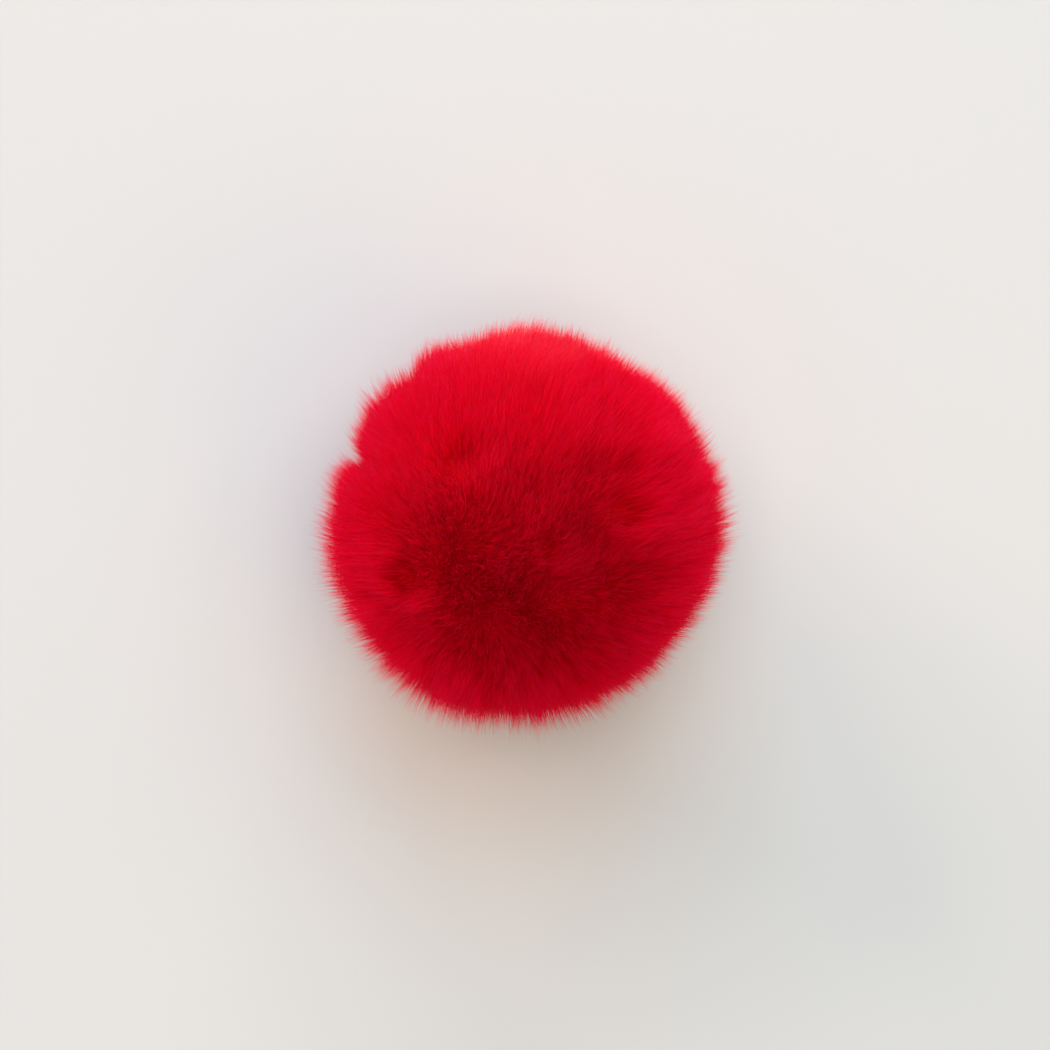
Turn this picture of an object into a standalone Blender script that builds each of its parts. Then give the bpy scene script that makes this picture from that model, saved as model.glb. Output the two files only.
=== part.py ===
"""A faux-fur pom pom: one ball of 300 three-sided locks, apart but for their roots.

Metres, +Z up. The origin lies on the surface that the ball rests on, under its middle. Every lock
stands on one triangle of a sphere and stays inside the cone that this triangle spans, so no lock
touches its neighbour. The locks underneath are shorter and end level, which makes the flat spot.
"""

import bmesh
import bpy
import numpy as np

# Driving dimensions, in metres
DIAMETER = 0.080  # across the tips of the locks
LOCK_LENGTH = 0.013  # from the bottom of the partings to the tips
FLAT_RADIUS = 0.016  # of the level spot underneath
UNEVENNESS = 0.0011  # how far a lock may be longer or shorter than its neighbours
TIP_CLEARANCE = 0.0004  # between a pointed lock and the surface

# The locks are combed a little towards +X and +Y, more so towards their tips, and less lower down.
COMB = np.array([0.0016, 0.0016, 0.0])  # at the tips on top
COMB_CURVE = 1.5
COMB_FADE = 1.4

# A sphere with N corners has 2N - 4 triangles, and each of them carries one lock.
LOCK_COUNT = 300
CORNER_COUNT = (LOCK_COUNT + 4) // 2
CORNER_JITTER = 0.035  # on a sphere of radius 1
SEED = 27

RADIUS = DIAMETER / 2
ROOT_RADIUS = RADIUS - LOCK_LENGTH
CENTRE_HEIGHT = (RADIUS**2 - FLAT_RADIUS**2) ** 0.5
CENTRE = np.array([0.0, 0.0, CENTRE_HEIGHT])
DOWN = np.array([0.0, 0.0, -1.0])

# How much of its triangle a lock fills, at a share of the way from its root to its tip.
LOCK_PROFILE = (
    # share, fill
    (0.00, 0.86),
    (0.36, 0.92),
    (0.66, 0.80),
    (0.86, 0.48),
)
LEVEL_FILL = 0.84  # at the level end of a lock underneath
LEVEL_NARROWING = 0.9  # for each step by which such an end shrinks, until it is within the ball
TIP_WANDER = 0.5  # how far a tip may leave the middle of its triangle, 1 being its corner
TIP_SPREAD = (3.0, 3.0, 3.0)  # one for each corner: the higher, the nearer the tips stay to the middle

# Where the ball is fuller (rise over 0) or has a dent (rise under 0), seen from its centre.
LUMPS = (
    # azimuth, elevation, spread in degrees, rise in metres
    (87, 6, 5, 0.0014),  # tuft at the top of the outline
    (60, 0, 9, -0.0018),  # flat stretch right of it
    (122, 0, 8, 0.0006),
    (141, 4, 7, 0.0010),  # corner of the upper left
    (160, 2, 7, -0.0028),  # notch below that corner
    (191, 0, 15, 0.0014),  # the full left side
    (240, -4, 19, 0.0019),  # the full lower left
    (320, 0, 19, -0.0013),  # the flat lower right
    (20, 0, 9, -0.0008),
    (17, 56, 6, -0.0016),  # small pit on the upper side
    (40, 46, 9, 0.0008),  # fuller lip beyond the pit
    (228, 62, 16, -0.0010),  # where the locks part, off the middle
)

FUR_RED = (0.62, 0.003, 0.022, 1.0)
FUR_ROUGHNESS = 0.9


def clear_scene():
    for obj in list(bpy.data.objects):
        bpy.data.objects.remove(obj, do_unlink=True)


def direction(azimuth, elevation):
    """The unit vector at an azimuth and an elevation in degrees."""
    turn, rise = np.radians(azimuth), np.radians(elevation)
    return np.array([np.cos(rise) * np.cos(turn), np.cos(rise) * np.sin(turn), np.sin(rise)])


def unit(vectors):
    return vectors / np.linalg.norm(vectors, axis=-1, keepdims=True)


def lump_height(towards):
    """How far the ball stands out from its even sphere, in a direction."""
    height = 0.0
    for azimuth, elevation, spread, rise in LUMPS:
        angle = np.degrees(np.arccos(np.clip(towards @ direction(azimuth, elevation), -1.0, 1.0)))
        height += rise * np.exp(-((angle / spread) ** 2))
    return height


def rotation_onto(start, end):
    """The rotation matrix that turns one unit vector onto another."""
    axis = np.cross(start, end)
    cosine = start @ end
    skew = np.array([[0, -axis[2], axis[1]], [axis[2], 0, -axis[0]], [-axis[1], axis[0], 0]])
    return np.eye(3) + skew + skew @ skew / (1 + cosine)


def sphere_corners(rng):
    """Evenly scattered unit vectors, from a spiral whose points are moved a little."""
    index = np.arange(CORNER_COUNT) + 0.5
    height = 1 - 2 * index / CORNER_COUNT
    turn = np.pi * (1 + 5**0.5) * index
    ring = np.sqrt(1 - height**2)
    points = np.stack([ring * np.cos(turn), ring * np.sin(turn), height], axis=1)
    return unit(points + rng.uniform(-CORNER_JITTER, CORNER_JITTER, points.shape))


def sphere_triangles(corners):
    """The triangles of the corners' convex hull, each as three corner numbers, turned outwards."""
    bm = bmesh.new()
    number = {bm.verts.new(corner): i for i, corner in enumerate(corners)}
    bmesh.ops.convex_hull(bm, input=bm.verts[:])
    triangles = []
    for face in bm.faces:
        a, b, c = (number[vert] for vert in face.verts)
        outward = np.dot(np.cross(corners[b] - corners[a], corners[c] - corners[a]), corners[a])
        triangles.append((a, b, c) if outward > 0 else (a, c, b))
    bm.free()
    return sorted(triangles)


def stand_on_a_triangle(corners, triangles):
    """Turns the corners so that the middle of one triangle points straight down."""
    middles = unit(np.array([corners[list(triangle)].mean(axis=0) for triangle in triangles]))
    lowest = middles[np.argmin(middles[:, 2])]
    return corners @ rotation_onto(lowest, DOWN).T


def floor_radius(towards):
    """The distance from the ball's centre to the surface below it, in a direction."""
    return CENTRE_HEIGHT / -towards[2] if towards[2] < 0 else np.inf


def above_floor(towards, radius):
    """A radius, or less where it would bring a pointed lock to the surface."""
    return min(radius, floor_radius(towards) - TIP_CLEARANCE)


def place(towards, radius):
    """A point of the fur, combed more the further out it is, and not at all underneath."""
    out = max(radius - ROOT_RADIUS, 0.0) / LOCK_LENGTH
    upper_side = np.clip(1 + COMB_FADE * towards[2], 0.0, 1.0)
    along = COMB - towards * (COMB @ towards)
    return CENTRE + towards * radius + along * upper_side * out**COMB_CURVE


def ring_directions(corner_directions, fill):
    """The three directions of a ring that fills part of its triangle."""
    middle = corner_directions.mean(axis=0)
    return unit(middle + (corner_directions - middle) * fill)


def pointed_lock(corner_directions, reach, rng):
    """The rings of a lock from its root outwards, and its tip."""
    rings = []
    for share, fill in LOCK_PROFILE:
        radius = ROOT_RADIUS + (reach - ROOT_RADIUS) * share
        ways = ring_directions(corner_directions, fill)
        rings.append([place(way, above_floor(way, radius)) for way in ways])
    middle = corner_directions.mean(axis=0)
    somewhere = rng.dirichlet(TIP_SPREAD) @ corner_directions
    tip_way = unit(middle + TIP_WANDER * (somewhere - middle))
    return rings, place(tip_way, above_floor(tip_way, reach))


def level_lock(corner_directions):
    """The rings of a lock underneath, the last of them level on the surface."""
    end_fill = LEVEL_FILL
    while max(map(floor_radius, ring_directions(corner_directions, end_fill))) > RADIUS:
        end_fill *= LEVEL_NARROWING
    rings = []
    for share, fill in (*LOCK_PROFILE[:2], (1.0, end_fill)):
        ring = []
        for way in ring_directions(corner_directions, fill):
            ring.append(place(way, ROOT_RADIUS + (floor_radius(way) - ROOT_RADIUS) * share))
        rings.append(ring)
    for point in rings[-1]:
        point[2] = 0.0
    return rings


def add_ring_walls(bm, rings):
    """Joins each ring of three points to the next one."""
    for inner, outer in zip(rings, rings[1:]):
        for i in range(3):
            j = (i + 1) % 3
            bm.faces.new((inner[i], inner[j], outer[j], outer[i]))


def add_tip(bm, ring, tip):
    """Closes a ring of three points with a point."""
    for i in range(3):
        bm.faces.new((ring[i], ring[(i + 1) % 3], tip))


def build_ball():
    rng = np.random.default_rng(SEED)
    corners = sphere_corners(rng)
    triangles = sphere_triangles(corners)
    corners = stand_on_a_triangle(corners, triangles)

    bm = bmesh.new()
    partings = [bm.verts.new(place(corner, ROOT_RADIUS)) for corner in corners]
    for triangle in triangles:
        corner_directions = corners[list(triangle)]
        middle = unit(corner_directions.mean(axis=0))
        reach = RADIUS + lump_height(middle) + rng.uniform(-UNEVENNESS, UNEVENNESS)
        tip = None
        if floor_radius(middle) < RADIUS - UNEVENNESS:
            points = level_lock(corner_directions)
        else:
            points, tip = pointed_lock(corner_directions, reach, rng)
        rings = [[bm.verts.new(point) for point in ring] for ring in points]
        add_ring_walls(bm, [[partings[i] for i in triangle], *rings])
        if tip is None:
            bm.faces.new(rings[-1])
        else:
            add_tip(bm, rings[-1], bm.verts.new(tip))
    bmesh.ops.triangulate(bm, faces=bm.faces[:])
    bmesh.ops.recalc_face_normals(bm, faces=bm.faces[:])

    mesh = bpy.data.meshes.new("pompom")
    bm.to_mesh(mesh)
    bm.free()
    return mesh


def fur_material():
    material = bpy.data.materials.new("red_fur")
    material.use_nodes = True
    shader = material.node_tree.nodes["Principled BSDF"]
    shader.inputs["Base Color"].default_value = FUR_RED
    shader.inputs["Roughness"].default_value = FUR_ROUGHNESS
    shader.inputs["Metallic"].default_value = 0.0
    material.diffuse_color = FUR_RED
    return material


def main():
    clear_scene()
    pompom = bpy.data.objects.new("pompom", build_ball())
    pompom.data.materials.append(fur_material())
    bpy.context.scene.collection.objects.link(pompom)


main()
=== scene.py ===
"""The looks of the pom pom: 680,000 fine fibres that stand on a dense ball of undercoat.

Metres, +Z up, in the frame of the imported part. The ball rests on the surface at z = 0. A direction
is a unit vector from the middle of the ball, and arrays hold one direction or point in each row.
"""

import math

import bmesh
import bpy
import numpy as np
from mathutils.kdtree import KDTree
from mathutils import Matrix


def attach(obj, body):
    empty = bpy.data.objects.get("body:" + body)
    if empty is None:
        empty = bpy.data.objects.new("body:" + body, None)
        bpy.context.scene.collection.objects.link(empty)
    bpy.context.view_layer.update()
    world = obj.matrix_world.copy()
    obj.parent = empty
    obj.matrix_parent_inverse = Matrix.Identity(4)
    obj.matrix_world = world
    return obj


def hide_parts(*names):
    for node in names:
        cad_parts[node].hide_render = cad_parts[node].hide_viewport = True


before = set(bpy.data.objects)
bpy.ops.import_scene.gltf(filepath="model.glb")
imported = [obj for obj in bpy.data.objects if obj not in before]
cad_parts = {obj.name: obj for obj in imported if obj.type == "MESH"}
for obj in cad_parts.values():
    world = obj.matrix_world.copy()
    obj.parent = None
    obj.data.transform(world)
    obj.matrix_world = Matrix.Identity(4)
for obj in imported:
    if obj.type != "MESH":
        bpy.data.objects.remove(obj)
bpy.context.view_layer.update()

MM = 0.001

# One seed for each stage, so that a change to one stage leaves the others as they are.
GROUP_SEED = 11
SWIRL_SEED = 12
SHADE_SEED = 13
UNDERCOAT_SEED = 14
DRAWN_SEED = 112

# ---- Sizes, as in the part's source ----
RADIUS = 40 * MM
FLAT_RADIUS = 16 * MM
ROOT_RADIUS = 26 * MM
CENTRE_HEIGHT = math.sqrt(RADIUS**2 - FLAT_RADIUS**2)
CENTRE = np.array([0.0, 0.0, CENTRE_HEIGHT])

# Where the ball is fuller (rise over 0) or has a dent (rise under 0), seen from its centre.
LUMPS = (
    # azimuth, elevation, spread in degrees, rise in millimetres
    (87, 6, 5, 1.4),  # tuft at the top of the outline
    (60, 0, 9, -1.8),  # flat stretch right of it
    (121, 3, 5, 1.3),  # step left of it, above the first parting
    (138, 2, 5, 1.5),  # corner of the upper left, between the partings
    (154, 2, 7, -1.6),  # notch below that corner
    (191, 0, 15, 2.1),  # the full left side
    (240, -4, 19, 2.2),  # the full lower left
    (272, 0, 6, 0.8),  # tuft at the bottom
    (298, 0, 13, -2.5),  # flat stretch right of it
    (326, 0, 20, -2.0),  # the flat lower right
    (6, 0, 13, 0.8),  # the fuller right side
    (17, 56, 5, -2.2),  # small pit on the upper side
    (34, 50, 4, -1.0),  # its shallow end
    (46, 51, 5, 0.9),  # fuller lip beyond the pit,
    (38, 40, 6, 0.9),  # and to the outside of it
    (201, 46, 5, -2.4),  # small pit on the left
    (131, 58, 5, -1.8),  # small pit on the upper left
    (335, 82, 4, -0.9),  # small pit near the middle
    (228, 62, 16, -1.0),  # shallow dip at the lower left of the middle
    (345, 62, 13, -1.5),  # shallow dip right of the middle
)

# Partings that run up and down across the outline, where the ball is cut in between two tufts.
PARTINGS = (
    # azimuth, spread in degrees, rise in millimetres
    (128, 3.0, -1.4),
    (156, 3.0, -7.5),
)
PARTING_HEIGHT = 24  # degrees up and down

# Small dents where the tips lean away from one place, as if a finger had been there.
DENTS = (
    # azimuth, elevation, spread in degrees, how strongly they lean away
    (17, 56, 6, 0.8),
    (201, 46, 7, 0.9),
    (131, 58, 6, 0.7),
    (335, 82, 5, 0.6),
    (34, 50, 5, 0.8),
)

# ---- Fur ----
UNDERCOAT_RADIUS = 33.6 * MM
UNDERCOAT_LUMPS = 0.5  # how much of the ball's lumps it has
UNDERCOAT_WAVES = 0.25 * MM
UNDERCOAT_WAVE_SIZE = 0.2  # on a sphere of radius 1
UNDERCOAT_FINENESS = 5  # which makes 5,120 triangles, and one more four times as many
START_RADIUS = 33.2 * MM  # just inside the undercoat, where the fibres start
LEAST_REACH = 34.5 * MM  # of a tip, so that every fibre shows

# The pile is combed towards +X and +Y, more so towards the tips, and less lower down.
COMB = np.array([2.6, 5.0, 0.0]) * MM  # at the tips on top
COMB_CURVE = 1.4  # the higher, the nearer its tip a fibre bends
COMB_FADE = 1.4  # the higher, the sooner the comb fades below the middle
COMB_LIMIT = 1.2  # of a fibre's way out, beyond which it leans no further

# Around this place the tips draw together, so that one looks down between the fibres.
UPRIGHT_AT = (262, 75, 42)  # azimuth, elevation, spread in degrees
UPRIGHT = 0.22  # how far they do, 1 being all the way

# Neighbouring fibres lean into the same tuft, less so into a wider clump, and least into a lock.
GROUPS = (
    # name, count, wander of the tips on a sphere of radius 1, uneven length in millimetres
    ("tuft", 16000, 0.020, 0.30),
    ("clump", 2600, 0.045, 0.20),
    ("lock", 330, 0.040, 0.30),
)
DRAWN_UNEVEN = 0.35  # how much more, or less, some stretches of pile are drawn into their groups
DRAWN_SIZE = 0.5  # of those stretches, on a sphere of radius 1
DRAWN_LIMITS = (0.3, 1.7)
LOOSE_TOP = 0.85  # how much less the pile on top is drawn into them

# Around this place the pile is fuzzy: less drawn into groups, and its tips stray more.
FUZZY_AT = (142, 46, 40)  # azimuth, elevation, spread in degrees
FUZZY_LOOSE = 0.6  # how much less it is drawn into groups there
FUZZY_STRAY = 1.3  # how much more the tips stray there

# Layers of fibres. The shortfall is how far inside the outline the tips stay.
LAYERS = (
    # name, seed, count, shortfall from and to (mm), width (mm), pull of each group, points along
    ("long", 21, 120000, -2.0, 2.9, 0.070, (0.75, 0.20, 0.12), 3),
    ("pile", 31, 560000, 0.1, 5.6, 0.060, (0.40, 0.12, 0.10), 2),
)
SHORTFALL_SHAPE = (1.8, 1.5)  # of the beta distribution between the two shortfalls

# Around this place the pile is shaggy: its fibres differ more in length.
SHAGGY_AT = (262, -5, 62)  # azimuth, elevation, spread in degrees
SHAGGY = 0.55  # how much more they differ there
MIDDLE_SHORTFALL = 1.0  # mm, the one that stays the same

STRAY = 0.017  # how far a tip strays from its group, on a sphere of radius 1
STRAY_UNEVEN = 0.8  # how much more, or less, than that some of them stray
PULL_UNEVEN = 0.3  # how much the pull of a group differs between its fibres
MOST_PULL = 0.95  # of a group, 1 being all the way
WIDTH_UNEVEN = 0.25  # how much wider, or narrower, than usual a fibre may be
TAPER = 0.2  # how much narrower a fibre grows along its way, besides its pointed end
EDGE_SHADE = 0.006  # how much darker and lighter a fibre's two edges are
ALONG = (0.02, 0.98)  # the way along in the map, at the root and at the tip
BEND = 1.6  # the higher, the nearer its tip a fibre bends towards its group
BOW = 0.35 * MM  # how far the middle of a long fibre is off its line
SWIRL = 0.9 * MM  # how far whole stretches of the pile lean to one side
SWIRL_SIZE = 0.55  # of those stretches, on a sphere of radius 1
SPLAY = 0.55  # how far a fibre that meets the surface goes outwards for what it is pressed up
FOOT_HEIGHTS = (0.05 * MM, 0.9 * MM)  # the least heights of the tips above the surface
ROOT_LIFT = 1.5 * MM  # how much higher than its tip the root of a fibre stays

SHADE_WAVES = 0.12  # how much the shade differs between stretches of the pile,
SHADE_FIBRES = 0.12  # between fibres
SHADE_GROUPS = 0.1  # and between groups
SHADE_SIZE = 0.35  # of those stretches, on a sphere of radius 1
SHADE_LIMITS = (0.02, 0.68)
MOST_SHADE = 0.98  # with what the painted highlight adds

# Around this place the tips are paler: a painted highlight, where the window light falls on the top of
# the outline.
PAINTED_HIGHLIGHT_AT = (92, 4, 26)  # azimuth, elevation, spread in degrees
PAINTED_HIGHLIGHT_LIFT = 0.6  # how much painted highlight is added to the shade there

SCATTER = 0.55  # how far a direction is moved from its even place, 1 being to its neighbour's
WAVE_COUNT = 14  # sine waves in the smooth noise,
WAVE_SIZES = (0.6, 1.3)  # and the least and most of their wave numbers, 1 being the usual
TRIANGLES_A_PIECE = 195000


def unit(vectors):
    """The same directions with length 1."""
    return vectors / np.linalg.norm(vectors, axis=-1, keepdims=True)


def direction(azimuth, elevation):
    """The unit vector at an azimuth and an elevation in degrees."""
    turn, rise = math.radians(azimuth), math.radians(elevation)
    return np.array([math.cos(rise) * math.cos(turn), math.cos(rise) * math.sin(turn), math.sin(rise)])


def degrees_from(towards, azimuth, elevation):
    """The angle between each direction and one given by its azimuth and elevation."""
    return np.degrees(np.arccos(np.clip(towards @ direction(azimuth, elevation), -1, 1)))


def nearness(towards, azimuth, elevation, spread):
    """From 1 at a place on the ball down to 0 well outside its spread."""
    return np.exp(-((degrees_from(towards, azimuth, elevation) / spread) ** 2))


def scattered_directions(count, rng):
    """Directions spread evenly over the sphere, from the top down, each moved a little."""
    index = np.arange(count) + 0.5
    height = 1 - 2 * index / count
    turn = math.pi * (1 + 5**0.5) * index
    ring = np.sqrt(1 - height**2)
    points = np.stack([ring * np.cos(turn), ring * np.sin(turn), height], axis=1)
    spacing = math.sqrt(4 * math.pi / count)
    return unit(points + rng.normal(0, SCATTER * spacing, points.shape))


def waves(towards, size, rng):
    """Smooth noise from about -1 to 1, whose waves are about as long as size on a sphere of radius 1."""
    ways = unit(rng.normal(size=(WAVE_COUNT, 3))) * (2 * math.pi / size)
    ways *= rng.uniform(*WAVE_SIZES, (WAVE_COUNT, 1))
    phases = rng.uniform(0, 2 * math.pi, WAVE_COUNT)
    total = np.zeros(len(towards))
    for way, phase in zip(ways, phases):
        total += np.sin(towards @ way + phase)
    return total / math.sqrt(WAVE_COUNT / 2)


def lump_height(towards):
    """How far the ball stands out from its even sphere."""
    height = np.zeros(len(towards))
    for *place, rise in LUMPS:
        height += rise * MM * nearness(towards, *place)
    return height + parting_height(towards)


def parting_height(towards):
    """How far the ball stands out where it is parted, which is less than nothing."""
    azimuths = np.degrees(np.arctan2(towards[:, 1], towards[:, 0]))
    elevations = np.degrees(np.arcsin(np.clip(towards[:, 2], -1, 1)))
    height = np.zeros(len(towards))
    for azimuth, spread, rise in PARTINGS:
        off = (azimuths - azimuth + 180) % 360 - 180
        near = np.exp(-((off / spread) ** 2) - (elevations / PARTING_HEIGHT) ** 2)
        height += rise * MM * near
    return height


def comb(towards, out):
    """How far the pile leans at a share of its way out."""
    upper_side = np.clip(1 + COMB_FADE * towards[:, 2:3], 0, 1)
    along = COMB - towards * (towards @ COMB)[:, None]
    return along * upper_side * (np.clip(out, 0, COMB_LIMIT) ** COMB_CURVE)[:, None]


def upright_lean(towards):
    """How far the tips draw together around the upright place."""
    near = nearness(towards, *UPRIGHT_AT)
    return (direction(*UPRIGHT_AT[:2]) - towards) * (UPRIGHT * near)[:, None]


def dent_lean(towards, combed):
    """How far the tips lean away from the dents."""
    lean = np.zeros_like(towards)
    for azimuth, elevation, spread, push in DENTS:
        near = nearness(combed, azimuth, elevation, spread)
        lean += (combed - direction(azimuth, elevation)) * (push * near)[:, None]
    return lean


def shaggy(towards, shortfall):
    """The shortfall of each fibre, more uneven around the shaggy place."""
    more_uneven = 1 + SHAGGY * nearness(towards, *SHAGGY_AT)
    return MIDDLE_SHORTFALL + (shortfall - MIDDLE_SHORTFALL) * more_uneven


def drawn_together(towards):
    """How strongly the fibres are drawn into their groups, 1 being the usual."""
    drawn = 1 + DRAWN_UNEVEN * waves(towards, DRAWN_SIZE, np.random.default_rng(DRAWN_SEED))
    loose_top = 1 - LOOSE_TOP * np.clip(towards[:, 2], 0, 1)
    loose_place = 1 - FUZZY_LOOSE * nearness(towards, *FUZZY_AT)
    return np.clip(drawn, *DRAWN_LIMITS) * loose_top * loose_place


def swirl(towards):
    """How far the tips of whole stretches lean to one side, along the surface."""
    rng = np.random.default_rng(SWIRL_SEED)
    lean = SWIRL * np.stack([waves(towards, SWIRL_SIZE, rng) for _ in range(3)], axis=1)
    return lean - towards * np.sum(lean * towards, axis=1, keepdims=True)


def pressed(points, least_height):
    """Points lower than they may be are raised and pushed outwards."""
    sunk = np.maximum(least_height - points[:, 2], 0)
    outward = points[:, :2] / np.maximum(np.linalg.norm(points[:, :2], axis=1, keepdims=True), 1e-9)
    laid = points.copy()
    laid[:, :2] += outward * (sunk * SPLAY)[:, None]
    laid[:, 2] += sunk
    return laid


class Groups:
    """Groups of neighbouring fibres, each with a direction that their tips lean to."""

    def __init__(self, count, wander, uneven, rng):
        ways = scattered_directions(count, rng)
        self.lean = unit(ways + rng.normal(0, wander, ways.shape))
        self.extra = rng.normal(0, uneven * MM, count)
        self.shade = rng.uniform(-1, 1, count)
        self.tree = KDTree(count)
        for i, way in enumerate(ways):
            self.tree.insert(way, i)
        self.tree.balance()

    def nearest(self, towards):
        """The number of the group that each fibre belongs to."""
        find = self.tree.find
        return np.array([find(way)[1] for way in towards])


def fibre_ends(towards, groups, pulls, shortfall, rng):
    """Each fibre's reach from the centre, the direction that its tip leans to, and its shade, with the
    painted highlight added.
    """
    count = len(towards)
    combed = unit(towards * RADIUS + comb(towards, np.ones(count)))
    reach = RADIUS + lump_height(combed) - shortfall
    shade = 0.5 + SHADE_WAVES * waves(towards, SHADE_SIZE, np.random.default_rng(SHADE_SEED))
    shade += rng.normal(0, SHADE_FIBRES, count)
    stray = STRAY * rng.uniform(1 - STRAY_UNEVEN, 1 + STRAY_UNEVEN, count)
    stray *= 1 + FUZZY_STRAY * nearness(towards, *FUZZY_AT)
    tip_ways = towards + rng.normal(size=towards.shape) * stray[:, None]
    tip_ways += upright_lean(towards) + dent_lean(towards, combed)
    drawn = drawn_together(towards)
    for group, pull in zip(groups, pulls):
        mine = group.nearest(towards)
        amount = np.clip(rng.normal(pull, PULL_UNEVEN * pull, count) * drawn, 0, MOST_PULL)[:, None]
        tip_ways += (group.lean[mine] - towards) * amount
        reach += group.extra[mine]
        shade += SHADE_GROUPS * group.shade[mine]
    # The painted highlight: tips at the top of the outline get a paler shade, for the window light on
    # them.
    shade = np.clip(shade, *SHADE_LIMITS) + PAINTED_HIGHLIGHT_LIFT * nearness(combed, *PAINTED_HIGHLIGHT_AT)
    return np.maximum(reach, LEAST_REACH), tip_ways, np.minimum(shade, MOST_SHADE)


def fibre_lines(towards, reach, tip_ways, steps, rng):
    """The points along each fibre, from the undercoat to its tip."""
    bow = rng.normal(0, BOW, towards.shape)
    side_lean = swirl(towards)
    least_height = rng.uniform(*FOOT_HEIGHTS, len(towards))
    start = (START_RADIUS - ROOT_RADIUS) / (reach - ROOT_RADIUS)
    lines = []
    for step in np.linspace(0, 1, steps):
        share = (start + (1 - start) * step)[:, None]
        ways = unit(towards + (tip_ways - towards) * share**BEND)
        radius = ROOT_RADIUS + (reach - ROOT_RADIUS) * share[:, 0]
        out = (radius - ROOT_RADIUS) / (RADIUS - ROOT_RADIUS)
        points = CENTRE + ways * radius[:, None] + comb(ways, out) + side_lean * share**2
        points += bow * 4 * step * (1 - step)
        lines.append(pressed(points, least_height + (1 - share[:, 0]) * ROOT_LIFT))
    return np.stack(lines, axis=1)


def ribbon_faces(steps):
    """The corner numbers of one fibre's triangles: pairs up to the last step, and then a point."""
    faces = []
    for k in range(steps - 2):
        a = 2 * k
        faces += [(a, a + 1, a + 3), (a, a + 3, a + 2)]
    last = 2 * (steps - 1)
    faces.append((last - 2, last - 1, last))
    return np.array(faces)


def ribbons(lines, shade, width, rng):
    """The corners of flat fibres that taper to a point, with the shade and the way along in a map."""
    count, steps, _ = lines.shape
    along = unit(lines[:, -1] - lines[:, 0])
    side = unit(np.cross(along, unit(rng.normal(size=along.shape))))
    corners = np.zeros((count, 2 * steps - 1, 3))
    uvs = np.zeros((count, 2 * steps - 1, 2))
    for k in range(steps - 1):
        share = k / (steps - 1)
        half = 0.5 * width * (1 - TAPER * share)
        for i, sign in enumerate((-1, 1)):
            corners[:, 2 * k + i] = lines[:, k] + side * (sign * half)[:, None]
            uvs[:, 2 * k + i, 0] = shade + sign * EDGE_SHADE
            uvs[:, 2 * k + i, 1] = ALONG[0] + (ALONG[1] - ALONG[0]) * share
    corners[:, -1] = lines[:, -1]
    uvs[:, -1, 0] = shade
    uvs[:, -1, 1] = ALONG[1]
    return corners, uvs


def fibre_mesh(name, lines, shade, width, rng):
    """One mesh of many fibres."""
    corners, uvs = ribbons(lines, shade, width, rng)
    count, corners_each, _ = corners.shape
    faces = ribbon_faces(lines.shape[1])
    all_faces = (faces[None] + corners_each * np.arange(count)[:, None, None]).reshape(-1, 3)
    mesh = bpy.data.meshes.new(name)
    mesh.vertices.add(count * corners_each)
    mesh.vertices.foreach_set("co", corners.ravel())
    mesh.loops.add(all_faces.size)
    mesh.loops.foreach_set("vertex_index", all_faces.ravel().astype(np.int32))
    mesh.polygons.add(len(all_faces))
    mesh.polygons.foreach_set("loop_start", np.arange(0, all_faces.size, 3, dtype=np.int32))
    layer = mesh.uv_layers.new(name="OFBake")
    layer.data.foreach_set("uv", uvs[:, faces].ravel())
    mesh.update(calc_edges=True)
    return mesh


def place_piece(name, mesh, material):
    """Puts a piece of fur into the scene, in place of the plain ball."""
    piece = bpy.data.objects.new(name, mesh)
    bpy.context.scene.collection.objects.link(piece)
    mesh.materials.append(material)
    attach(piece, "root")
    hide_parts("pompom")


def fur(material):
    """All the fibres, one piece for every so many triangles."""
    group_rng = np.random.default_rng(GROUP_SEED)
    groups = [Groups(count, wander, uneven, group_rng) for _, count, wander, uneven in GROUPS]
    for name, seed, count, least, most, width, pulls, steps in LAYERS:
        rng = np.random.default_rng(seed)
        towards = scattered_directions(count, rng)
        shortfall = shaggy(towards, least + (most - least) * rng.beta(*SHORTFALL_SHAPE, count)) * MM
        reach, tip_ways, shade = fibre_ends(towards, groups, pulls, shortfall, rng)
        lines = fibre_lines(towards, reach, tip_ways, steps, rng)
        widths = width * MM * rng.uniform(1 - WIDTH_UNEVEN, 1 + WIDTH_UNEVEN, count)
        pieces = math.ceil(count * len(ribbon_faces(steps)) / TRIANGLES_A_PIECE)
        for k, some in enumerate(np.array_split(np.arange(count), pieces)):
            piece_name = f"fur_{name}_{k + 1}"
            mesh = fibre_mesh(piece_name, lines[some], shade[some], widths[some], rng)
            place_piece(piece_name, mesh, material)


def undercoat_mesh():
    """The dense ball of short fur in which the long fibres stand."""
    bm = bmesh.new()
    bmesh.ops.create_icosphere(bm, subdivisions=UNDERCOAT_FINENESS, radius=1.0)
    ways = np.array([vert.co[:] for vert in bm.verts])
    radius = UNDERCOAT_RADIUS + UNDERCOAT_LUMPS * lump_height(ways)
    rng = np.random.default_rng(UNDERCOAT_SEED)
    radius += UNDERCOAT_WAVES * waves(ways, UNDERCOAT_WAVE_SIZE, rng)
    for vert, way, reach in zip(bm.verts, ways, radius):
        vert.co = CENTRE + way * reach
    for face in bm.faces:
        face.smooth = True
    mesh = bpy.data.meshes.new("undercoat")
    bm.to_mesh(mesh)
    bm.free()
    return mesh
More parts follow.
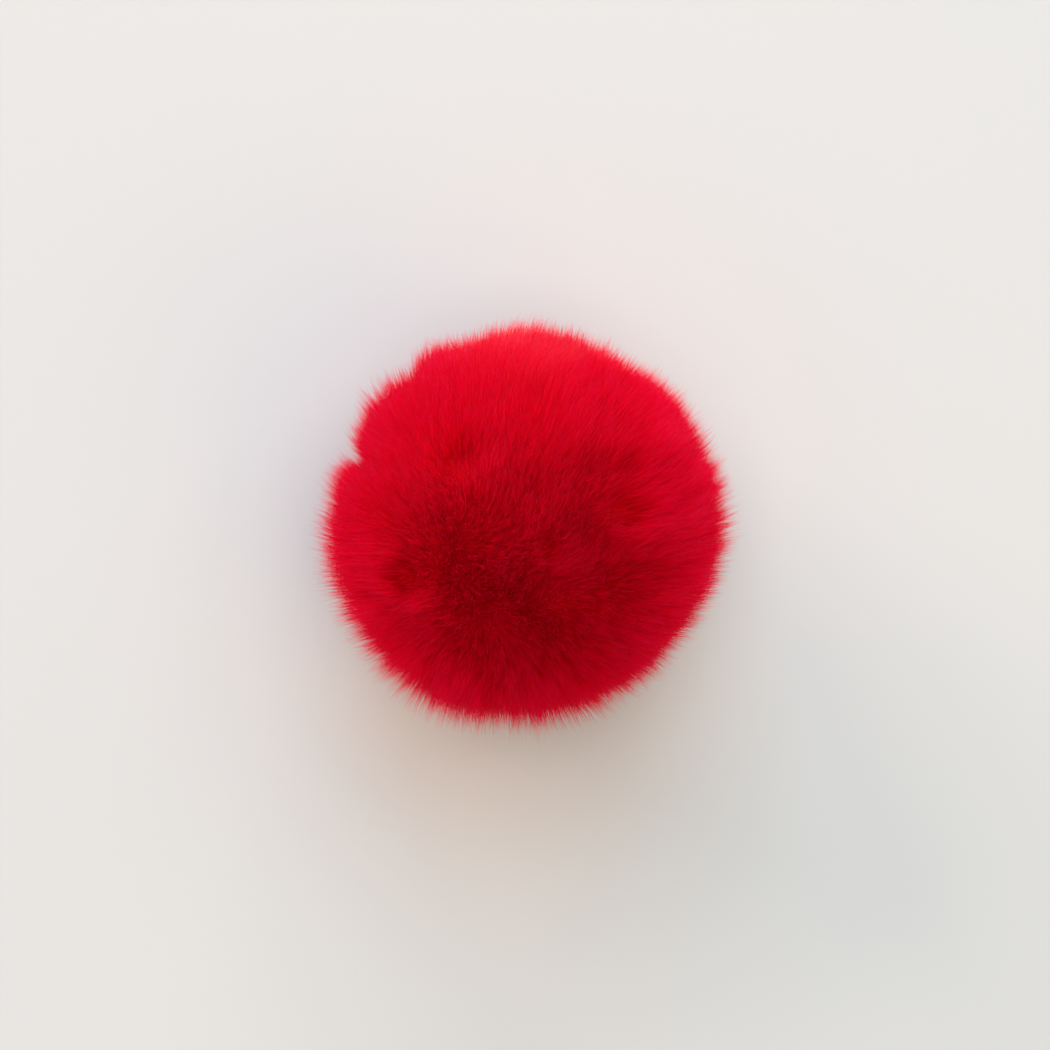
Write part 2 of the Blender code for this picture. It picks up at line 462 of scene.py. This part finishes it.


# ---- Materials ----
# The colour along a fibre, from its root at 0 to its tip at 1, in the darkest and lightest fibres. The
# darker roots are painted shade, for the shade deep down in the fur.
DARK_FIBRE_SHADED_ROOT = (
    (0.0, (0.66, 0.0, 0.003)),
    (0.35, (0.76, 0.0, 0.008)),
    (0.80, (0.91, 0.0, 0.030)),
    (1.0, (0.96, 0.0, 0.125)),
)
LIGHT_FIBRE_SHADED_ROOT = (
    (0.0, (0.74, 0.0, 0.004)),
    (0.35, (0.84, 0.0, 0.011)),
    (0.80, (0.95, 0.0, 0.044)),
    (1.0, (0.98, 0.004, 0.190)),
)
# The palest fibre, which only the painted highlight reaches. Its darker root is painted shade too.
PAINTED_HIGHLIGHT_FIBRE = (
    (0.0, (0.82, 0.0, 0.005)),
    (0.35, (0.92, 0.0, 0.012)),
    (0.80, (1.00, 0.050, 0.080)),
    (1.0, (1.00, 0.240, 0.280)),
)
PAINTED_HIGHLIGHT_SHADES = (0.70, 0.98)  # between these shades a fibre gets paler, the painted highlight
# The colour of the light that goes on through a fibre.
THROUGH_FIBRE = (
    (0.0, (0.75, 0.0, 0.003)),
    (0.60, (0.94, 0.0, 0.020)),
    (0.86, (0.98, 0.004, 0.140)),
    (1.0, (1.00, 0.460, 0.420)),
)
SEE_THROUGH = 0.45  # how much of the light on a fibre goes on through it
# The undercoat's reds are darker than the fibres': painted shade of the depth in the fur.
UNDERCOAT_PAINTED_SHADE_REDS = ((0.3, (0.42, 0.0, 0.005)), (0.7, (0.58, 0.0, 0.009)))
UNDERCOAT_NOISE = 900  # the higher, the finer
UNDERCOAT_DETAIL = 4
# How rough each surface is, and its specular level.
FIBRE_SHEEN = (0.5, 0.05)
UNDERCOAT_SHEEN = (0.9, 0.08)
FLOOR_SHEEN = (0.9, 0.1)


def new_material(name, sheen):
    """A material with its nodes, its links and its shader."""
    material = bpy.data.materials.new(name)
    material.use_nodes = True
    nodes = material.node_tree.nodes
    shader = nodes["Principled BSDF"]
    shader.inputs["Roughness"].default_value = sheen[0]
    shader.inputs["Specular IOR Level"].default_value = sheen[1]
    return material, nodes, material.node_tree.links, shader


def ramp(nodes, links, at, stops):
    """A colour that goes through some stops, each at its place from 0 to 1."""
    node = nodes.new("ShaderNodeValToRGB")
    elements = node.color_ramp.elements
    while len(elements) < len(stops):
        elements.new(0.5)
    for element, (position, colour) in zip(elements, stops):
        element.position = position
        element.color = (*colour, 1.0)
    links.new(at, node.inputs["Fac"])
    return node.outputs["Color"]


def mix(nodes, links, factor, first, second):
    """A colour between two others."""
    node = nodes.new("ShaderNodeMix")
    node.data_type = "RGBA"
    links.new(factor, node.inputs["Factor"])
    links.new(first, node.inputs["A"])
    links.new(second, node.inputs["B"])
    return node.outputs["Result"]


def fibre_map(nodes, links):
    """A fibre's shade and the way along it, which are U and V in its map."""
    uv = nodes.new("ShaderNodeUVMap")
    uv.uv_map = "OFBake"
    parts = nodes.new("ShaderNodeSeparateXYZ")
    links.new(uv.outputs["UV"], parts.inputs[0])
    return parts.outputs["X"], parts.outputs["Y"]


def fibre_colour(nodes, links, shade, along):
    """Darker at the root, which is painted shade of the depth in the fur, and pinker at the tip, between
    a dark, a light and a pale fibre. The pale fibre is a painted highlight.
    """
    dark = ramp(nodes, links, along, DARK_FIBRE_SHADED_ROOT)
    light = ramp(nodes, links, along, LIGHT_FIBRE_SHADED_ROOT)
    pale = ramp(nodes, links, along, PAINTED_HIGHLIGHT_FIBRE)
    painted_highlight = nodes.new("ShaderNodeMapRange")
    painted_highlight.inputs["From Min"].default_value = PAINTED_HIGHLIGHT_SHADES[0]
    painted_highlight.inputs["From Max"].default_value = PAINTED_HIGHLIGHT_SHADES[1]
    links.new(shade, painted_highlight.inputs["Value"])
    usual = mix(nodes, links, shade, dark, light)
    return mix(nodes, links, painted_highlight.outputs["Result"], usual, pale)


def fibre_material():
    """A matt fibre that lets part of the light through."""
    material, nodes, links, shader = new_material("fur_fibre", FIBRE_SHEEN)
    shade, along = fibre_map(nodes, links)
    links.new(fibre_colour(nodes, links, shade, along), shader.inputs["Base Color"])
    through = nodes.new("ShaderNodeBsdfTranslucent")
    links.new(ramp(nodes, links, along, THROUGH_FIBRE), through.inputs["Color"])
    both = nodes.new("ShaderNodeMixShader")
    both.inputs[0].default_value = SEE_THROUGH
    links.new(shader.outputs[0], both.inputs[1])
    links.new(through.outputs[0], both.inputs[2])
    links.new(both.outputs[0], nodes["Material Output"].inputs["Surface"])
    return material


def undercoat_material():
    """Dull and darker red than the fibres, which is painted shade of the depth in the fur, and a little
    uneven.
    """
    material, nodes, links, shader = new_material("fur_undercoat", UNDERCOAT_SHEEN)
    noise = nodes.new("ShaderNodeTexNoise")
    noise.inputs["Scale"].default_value = UNDERCOAT_NOISE
    noise.inputs["Detail"].default_value = UNDERCOAT_DETAIL
    shaded_reds = ramp(nodes, links, noise.outputs["Fac"], UNDERCOAT_PAINTED_SHADE_REDS)
    links.new(shaded_reds, shader.inputs["Base Color"])
    return material


# ---- Stage, lights and camera ----
FLOOR_SIZE = 6.0
FLOOR_COLOUR = (0.627, 0.627, 0.617, 1)

# Soft lights around the ball, all at the same distance.
LIGHT_DISTANCE = 3.0
LIGHT_SIZE = 1.9
LIGHTS = (
    # name, azimuth, elevation in degrees, watts, colour
    ("window", 90, 20, 48, (1.00, 0.91, 0.91)),
    ("curtain", 135, 20, 66, (1.00, 0.75, 0.67)),
    ("sky", 90, 50, 27, (0.10, 0.62, 1.00)),
    ("lamp", -35, 50, 19, (1.00, 0.63, 0.22)),
    ("wall", 45, 50, 20, (0.97, 1.00, 0.97)),
    ("ceiling", 0, 90, 35, (1.00, 0.96, 0.92)),
)
ROOM_LIGHT = 0.265  # white, from all sides
DIFFUSE_BOUNCES = 5
MOST_BOUNCES = 6

# The camera looks straight down.
MM_PER_PIXEL = 0.198  # at the height of the ball's centre
FRAME_PIXELS = 1050
SENSOR = 36  # in millimetres, and so is the lens
CAMERA_PLACE = (-0.2 * MM, 0.0, 800 * MM)
NEAREST_SHOWN = 10 * MM


def stage():
    """The plain pale floor."""
    bpy.ops.mesh.primitive_plane_add(size=FLOOR_SIZE, location=(0, 0, 0))
    floor = bpy.context.object
    floor.name = "floor"
    material, _, _, shader = new_material("pale_paper", FLOOR_SHEEN)
    shader.inputs["Base Color"].default_value = FLOOR_COLOUR
    floor.data.materials.append(material)


def area_light(name, azimuth, elevation, watts, colour):
    """A soft light that shines on the foot of the ball."""
    data = bpy.data.lights.new(name, "AREA")
    data.size = LIGHT_SIZE
    data.energy = watts
    data.color = colour
    lamp = bpy.data.objects.new(name, data)
    lamp.location = direction(azimuth, elevation) * LIGHT_DISTANCE
    lamp.rotation_euler = (-lamp.location).to_track_quat("-Z", "Y").to_euler()
    bpy.context.scene.collection.objects.link(lamp)


def lights():
    """The soft lights around the ball, and the light that comes from all sides."""
    for light in LIGHTS:
        area_light(*light)
    world = bpy.data.worlds.new("room")
    world.use_nodes = True
    background = world.node_tree.nodes["Background"]
    background.inputs["Color"].default_value = (1, 1, 1, 1)
    background.inputs["Strength"].default_value = ROOM_LIGHT
    bpy.context.scene.world = world


def light_paths():
    """How often light goes on from fibre to fibre, and how its colours are shown."""
    scene = bpy.context.scene
    scene.cycles.diffuse_bounces = DIFFUSE_BOUNCES
    scene.cycles.max_bounces = MOST_BOUNCES
    scene.view_settings.view_transform = "Standard"


def camera():
    """Straight above the ball, from far enough for a flat outline."""
    data = bpy.data.cameras.new("camera")
    data.sensor_width = SENSOR
    data.lens = SENSOR * (CAMERA_PLACE[2] - CENTRE_HEIGHT) / (MM_PER_PIXEL * MM * FRAME_PIXELS)
    data.clip_start = NEAREST_SHOWN
    obj = bpy.data.objects.new("camera", data)
    obj.location = CAMERA_PLACE
    bpy.context.scene.collection.objects.link(obj)
    bpy.context.scene.camera = obj


place_piece("undercoat", undercoat_mesh(), undercoat_material())
fur(fibre_material())
stage()
lights()
light_paths()
camera()
